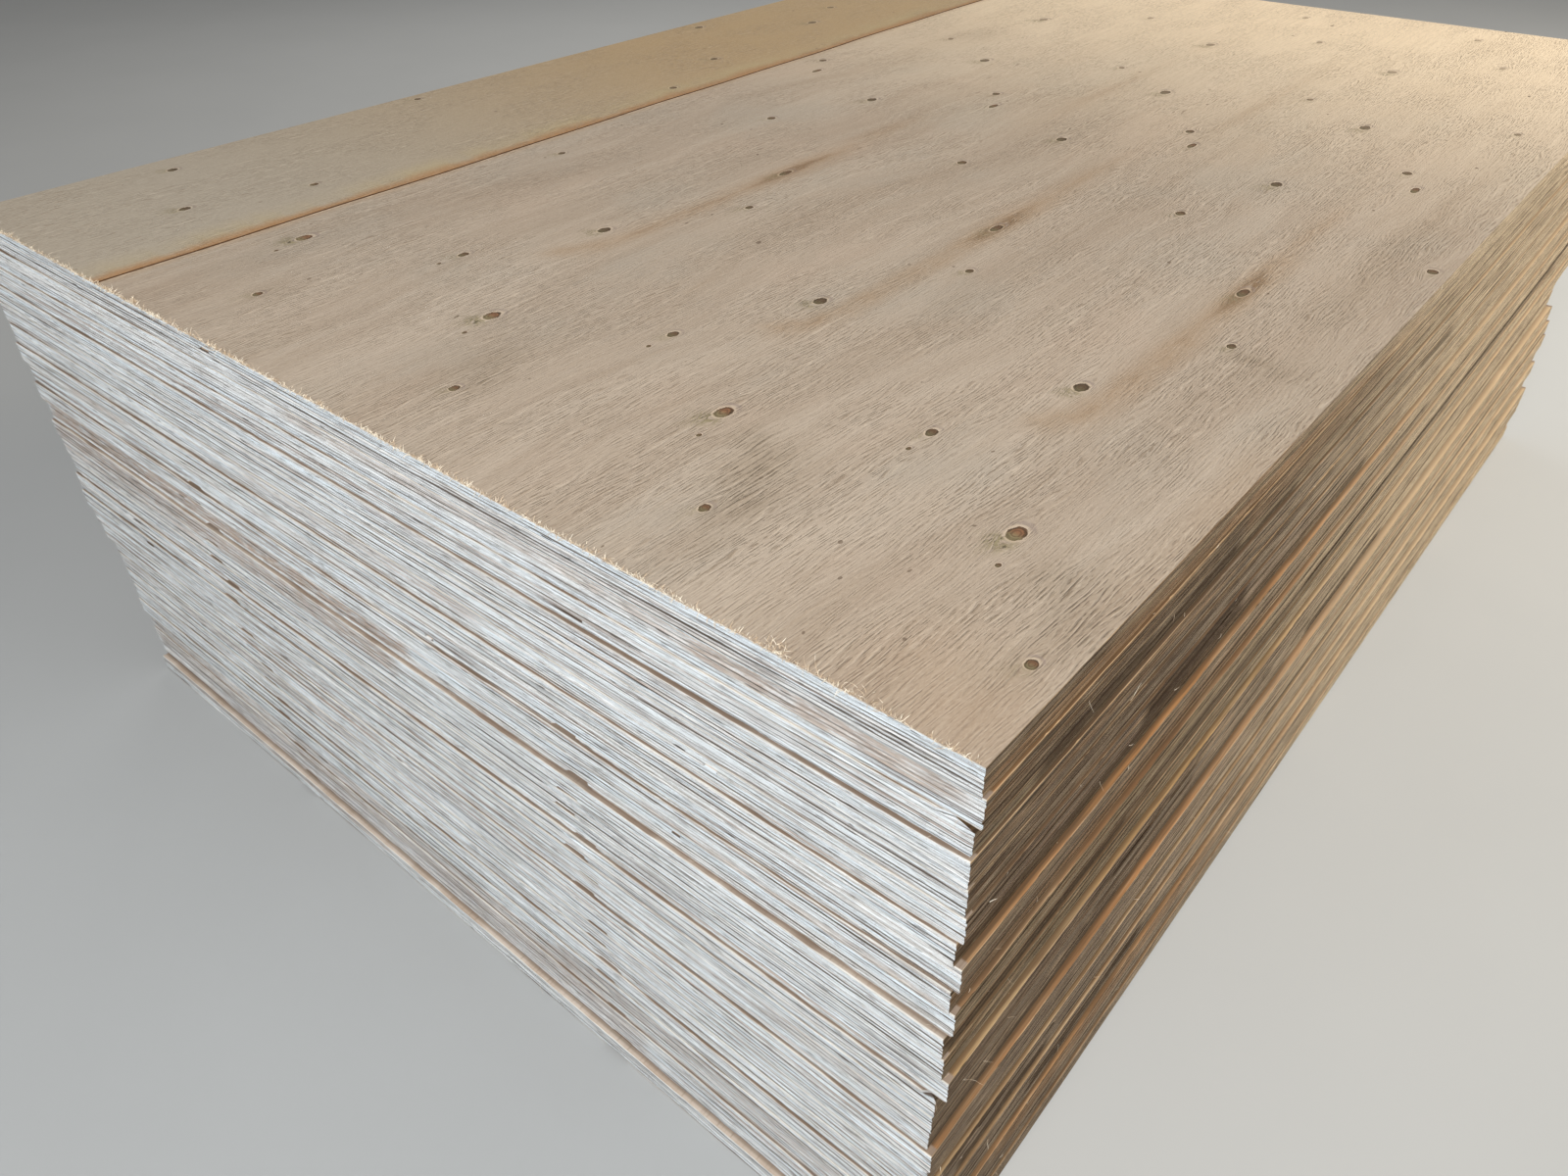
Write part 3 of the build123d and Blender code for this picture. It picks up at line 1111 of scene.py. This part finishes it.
def top_face(lay, outline, first_index):
    """Triangles of the top face over the outline's points, with its inner points and their looks."""
    knots = all_knots(lay.width)
    inner = face_points(lay, knots)
    flat = [Vector(p) for p in np.concatenate([outline, inner])]
    count = len(outline)
    points, _, faces, origins, _, _ = delaunay_2d_cdt(flat, [], [list(range(count))], 1, 1e-7, True)
    new = [(i, where) for i, where in enumerate(points) if not origins[i] or min(origins[i]) >= count]
    index = {i: min(origins[i]) for i in range(len(points)) if origins[i] and min(origins[i]) < count}
    index.update({i: first_index + k for k, (i, _) in enumerate(new)})
    triangles = [[index[corner] for corner in face] for face in faces]
    left = np.array([where[0] for _, where in new])
    far = np.array([where[1] for _, where in new])
    looks = face_looks(lay, left, far, knots)
    height = lay.thickness - face_drop(lay, left, far, looks["knot"])
    return triangles, left, far, height, looks, knots


# Meshes, with every sheet's edges on their own stretch of the strip that the materials read

STRIPS_APART = 7


def set_attribute(mesh, name, values):
    kind, key = ("FLOAT", "value") if values.ndim == 1 else ("FLOAT_VECTOR", "vector")
    layer = mesh.attributes.new(name, kind, "POINT")
    layer.data.foreach_set(key, values.astype(np.float32).ravel())


def make_piece(name, points, faces, materials, slots):
    mesh = bpy.data.meshes.new(name)
    mesh.from_pydata(points.tolist(), [], faces)
    for material in materials:
        mesh.materials.append(material)
    mesh.polygons.foreach_set("material_index", slots)
    mesh.polygons.foreach_set("use_smooth", [True] * len(mesh.polygons))
    mesh.set_sharp_from_angle(angle=SHARP_TURN)
    piece = bpy.data.objects.new(name, mesh)
    bpy.context.scene.collection.objects.link(piece)
    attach(piece, "root")
    return piece


def band_faces(rows, columns, kinds):
    """Quads between the rows and round the sheet, with the slot of each."""
    faces, slots = [], []
    for row in range(rows - 1):
        for column in range(columns):
            after = (column + 1) % columns
            a, b = row * columns, (row + 1) * columns
            faces.append((a + column, b + column, b + after, a + after))
            slots.append(1 if kinds[column] else 2)
    return faces, slots


def ledge_widths(node, number):
    """How far a sheet stands out from under the one above: right side at both ends, and the near end."""
    if node == TOP_SHEET:
        return 0, 0, 0
    lay, above = lays[node], lays[SHEETS[number - 2]]
    far_corner = lay.corner + lay.length * lay.to_far
    far_above = above.corner + above.length * above.to_far
    near = lay.corner - above.corner
    return near[0], far_corner[0] - far_above[0], -near[1]


def make_sheet(node, number, finishes):
    """One sheet with its plies in relief, in place of its CAD node."""
    lay = lays[node]
    rng = np.random.default_rng(1000 + number)
    left, far, height, strip, kinds, stain = sheet_grid(lay, number, rng)
    rows, columns = left.shape
    strip[..., 0] += STRIPS_APART * number
    strip[..., 1] += PLY_COUNT * (number - 1)
    faces, slots = band_faces(rows, columns, kinds)
    outline = np.stack([left[0], far[0]], -1)
    left, far, height = left.ravel(), far.ravel(), height.ravel()
    points = lay.place(left, far, height)
    values = {
        "strip": strip.reshape(-1, 3),
        "spot": np.stack([left, far, np.full(left.size, float(number))], -1),
        "edge_stain": stain.ravel(),
    }
    faces.append([(rows - 1) * columns + column for column in range(columns)][::-1])
    slots.append(0)
    materials = [finishes["inside"], finishes["end"], finishes["side"]]
    if node == TOP_SHEET:
        triangles, inner_left, inner_far, inner_height, looks, knots = top_face(lay, outline, len(points))
        faces += triangles
        slots += [3] * len(triangles)
        materials.append(finishes["top"])
        points = np.concatenate([points, lay.place(inner_left, inner_far, inner_height)])
        count = len(inner_left)
        values["strip"] = np.concatenate([values["strip"], np.zeros((count, 3))])
        values["spot"] = np.concatenate([values["spot"], np.ones((count, 3))])
        values["edge_stain"] = np.append(values["edge_stain"], np.zeros(count))
        for name, edge_look in face_looks(lay, left, far, knots).items():
            values[name] = np.append(edge_look, looks[name])
        left, far = np.append(left, inner_left), np.append(far, inner_far)
        values["grain"] = np.stack([grain_line(left, far, knots), far, np.zeros_like(far)], -1)
    else:
        faces.append(list(range(columns)))
        slots.append(0)
    piece = make_piece(f"{node}_wood", points, faces, materials, slots)
    whole_sheet = {
        "tone": WOOD_TONES[SHEET_TONES[number - 1]],
        "ledge": LEDGE_TONES.get(number, PLAIN_LEDGE),
        "open": ledge_widths(node, number),
    }
    for name, value in whole_sheet.items():
        values[name] = np.tile(value, (len(points), 1))
    for name, rows in values.items():
        set_attribute(piece.data, name, rows)
    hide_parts(node)


# Torn fibres

FIBRE_SIDES = 3
FIBRE_TAPER = (1, 0.9, 0.8, 0.6, 0.25)
FIBRE_FLATNESS = 0.6
NEAR_END_FIBRES = 2000
SIDE_FIBRES = 240
END_FIBRES = 160


def fibre(start, heading, length, thickness, curl, rng):
    """Points and faces of one curled, tapered fibre."""
    steps = len(FIBRE_TAPER)
    points = [start]
    direction = np.array(heading) / np.linalg.norm(heading)
    bend = rng.normal(0, curl, 3)
    for _ in range(steps - 1):
        direction = direction + bend + rng.normal(0, curl * 0.5, 3)
        direction = direction / np.linalg.norm(direction)
        points.append(points[-1] + direction * length / (steps - 1))
    points = np.array(points)
    across = np.cross(direction, (0.3, 0.5, 0.8))
    across = across / np.linalg.norm(across)
    other = np.cross(direction, across)
    widths = thickness * np.array(FIBRE_TAPER)
    turn = np.arange(FIBRE_SIDES) * 2 * np.pi / FIBRE_SIDES
    ring = np.cos(turn)[:, None] * across + FIBRE_FLATNESS * np.sin(turn)[:, None] * other
    tube = (points[:, None] + widths[:, None, None] / 2 * ring).reshape(-1, 3)
    tube[:, 2] = np.maximum(tube[:, 2], 0)
    faces = []
    for step in range(steps - 1):
        for side in range(FIBRE_SIDES):
            a, b = step * FIBRE_SIDES, (step + 1) * FIBRE_SIDES
            after = (side + 1) % FIBRE_SIDES
            faces.append((a + side, a + after, b + after, b + side))
    faces.append(tuple(range(FIBRE_SIDES))[::-1])
    faces.append(tuple((steps - 1) * FIBRE_SIDES + side for side in range(FIBRE_SIDES)))
    return tube, faces


def make_fibres(name, seeds, material, rng):
    """One piece of many fibres. A seed is start, heading, length, thickness and curl."""
    points, faces, count = [], [], 0
    for seed in seeds:
        tube, own = fibre(*seed, rng)
        points.append(tube)
        faces += [tuple(count + corner for corner in face) for face in own]
        count += len(tube)
    make_piece(name, np.concatenate(points), faces, [material], [0] * len(faces))


def near_end_seeds(rng):
    """Fibres torn up along the near arris of the top sheet."""
    lay = lays[TOP_SHEET]
    seeds = []
    for _ in range(NEAR_END_FIBRES):
        left = rng.uniform(3 * MM, lay.width - 3 * MM)
        far = abs(rng.normal(0, 0.9 * MM))
        start = lay.place(left, far, lay.thickness - 0.1 * MM)
        heading = (rng.normal(0, 0.8), rng.normal(-0.2, 0.7), rng.uniform(0.2, 1))
        length = (1.2 + rng.gamma(2, 1.1)) * MM
        seeds.append((start, heading, length, rng.uniform(0.35, 0.7) * MM, 0.28))
    return seeds


# Tufts near the near end of the top sheet: left, far, number of fibres, their mean length
TUFTS = [
    (135, 6, 30, 4.4),
    (73, 9, 6, 3.8),
    (219, 2, 12, 2.8),
    (278, 2, 10, 2.8),
    (98, 2, 6, 2.6),
    (430, 2, 10, 3),
    (862, 4, 26, 3.4),
    (900, 3, 14, 3),
]


def cluster_seeds(rng):
    """Tufts of longer fibres."""
    lay = lays[TOP_SHEET]
    seeds = []
    for left, far, number, mean_length in TUFTS:
        for _ in range(number):
            place = (left + rng.normal(0, 4.5), max(0.3, far * 0.6 + rng.normal(0, 2.4)))
            start = lay.place(place[0] * MM, place[1] * MM, lay.thickness)
            heading = (rng.normal(0, 0.7), rng.normal(0, 0.7), rng.uniform(0.15, 0.7))
            length = mean_length * rng.uniform(0.7, 1.8) * MM
            seeds.append((start, heading, length, rng.uniform(0.4, 0.7) * MM, 0.24))
    return seeds


def edge_seeds(rng, side, number):
    """Stray fibres that hang from the arrises of all sheets on one side."""
    seeds = []
    for _ in range(number):
        lay = lays[SHEETS[rng.integers(len(SHEETS))]]
        height = rng.choice([lay.thickness, 0.4 * MM, rng.uniform(0, lay.thickness)])
        length = lay.length if side == "right" else lay.width
        along = length * rng.uniform(0.003, 1) ** 1.4
        if side == "right":
            start = lay.place(0.2 * MM, along, height)
            heading = (rng.uniform(0.1, 0.6), rng.normal(0, 0.8), rng.normal(-0.3, 0.5))
        else:
            start = lay.place(along, 0.2 * MM, height)
            heading = (rng.normal(0, 0.8), -rng.uniform(0.1, 0.6), rng.normal(-0.3, 0.5))
        seeds.append((start, heading, rng.gamma(2.2, 2 * MM), rng.uniform(0.2, 0.42) * MM, 0.3))
    return seeds


# Camera, lights and floor

PHOTO_WIDTH_PX = 1600
FOCAL_PX = 1177.44
SENSOR_MM = 36
CAMERA_FROM_CORNER = Vector((0.17564, -0.35515, 0.4067))
CAMERA_RIGHT = Vector((0.76719977, 0.64134478, -0.00902135))
CAMERA_DOWN = Vector((0.38586333, -0.47272747, -0.79223622))
CAMERA_FORWARD = Vector((-0.5123612, 0.60432244, -0.61014784))


def add_camera():
    low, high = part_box(TOP_SHEET)
    data = bpy.data.cameras.new("camera")
    data.sensor_width = SENSOR_MM
    data.lens = SENSOR_MM * FOCAL_PX / PHOTO_WIDTH_PX
    data.clip_start = 0.01
    camera = bpy.data.objects.new("camera", data)
    turn = Matrix((CAMERA_RIGHT, -CAMERA_DOWN, -CAMERA_FORWARD)).transposed()
    corner = Vector((high.x, low.y, high.z))
    camera.matrix_world = Matrix.Translation(corner + CAMERA_FROM_CORNER) @ turn.to_4x4()
    bpy.context.scene.collection.objects.link(camera)
    bpy.context.scene.camera = camera


# Lamps: place, aim, size, power and colour
LAMPS = {
    "front_right": ((1.35, -2.95, 2.1), (0.1, -0.9, 0.35), 1.8, 117, (0.965, 0.985, 1)),
    "far_right": ((2.8, 2.6, 2.3), (0.5, 0.6, 0.4), 1.8, 195, (1, 0.93, 0.82)),
    "back_left": ((-3, 2.2, 2.6), (-0.2, 0.2, 0.4), 2.4, 26, (1, 0.99, 0.97)),
}
WORLD_STRENGTH = 0.27
BACKDROP = (0.86, 0.86, 0.85)
FLOOR_HALF = 14


def add_lights():
    for name, (place, aim, size, power, colour) in LAMPS.items():
        data = bpy.data.lights.new(name, "AREA")
        data.shape = "SQUARE"
        data.size = size
        data.energy = power
        data.color = colour
        light = bpy.data.objects.new(name, data)
        light.location = place
        light.visible_camera = False
        light.rotation_mode = "QUATERNION"
        light.rotation_quaternion = (Vector(aim) - Vector(place)).to_track_quat("-Z", "Y")
        bpy.context.scene.collection.objects.link(light)


def add_world():
    """Even light from all round, and a pale backdrop for camera, glossy and clear rays."""
    world = bpy.data.worlds.new("studio")
    bpy.context.scene.world = world
    g = Graph(world)
    rays = g.add("LightPath", {}).outputs
    seen = Value(g, rays["Is Camera Ray"])
    for name in ("Is Glossy Ray", "Is Transmission Ray"):
        seen = g.math("MAXIMUM", seen, Value(g, rays[name]))
    light = g.value("Background", {"Color": (1, 1, 1), "Strength": WORLD_STRENGTH})
    backdrop = g.value("Background", {"Color": BACKDROP, "Strength": 1})
    g.add("OutputWorld", {0: g.value("MixShader", {0: seen, 1: light, 2: backdrop})})


def add_floor():
    mesh = bpy.data.meshes.new("floor")
    h = FLOOR_HALF
    mesh.from_pydata([(-h, -h, 0), (h, -h, 0), (h, h, 0), (-h, h, 0)], [], [(0, 1, 2, 3)])
    floor = bpy.data.objects.new("floor", mesh)
    g = Graph(bpy.data.materials.new("pale_floor"))
    cloud = g.noise(g.value("TexCoord", {}, "Object"), (3, 3, 3))
    g.colour = g.blend(cloud, (0.42, 0.425, 0.42), (0.445, 0.45, 0.445))
    mesh.materials.append(g.finish(cloud, bump=0.0005, roughness=0.9))
    bpy.context.scene.collection.objects.link(floor)


# Everything in its place

lays = {node: Lay(node) for node in SHEETS}


def dress():
    finishes = {"inside": face_inside(), "end": sealed_end(), "side": raw_side(), "top": show_face()}
    for number, node in enumerate(SHEETS, 1):
        make_sheet(node, number, finishes)
    fibres = bare_fibre()
    rng = np.random.default_rng(5)
    make_fibres("top_end_fibres", near_end_seeds(rng), fibres, rng)
    make_fibres("top_end_tufts", cluster_seeds(rng), fibres, rng)
    make_fibres("side_fibres", edge_seeds(rng, "right", SIDE_FIBRES), fibres, rng)
    make_fibres("end_fibres", edge_seeds(rng, "near", END_FIBRES), fibres, rng)


dress()
add_floor()
add_lights()
add_world()
add_camera()
bpy.context.scene.view_settings.view_transform = "Standard"
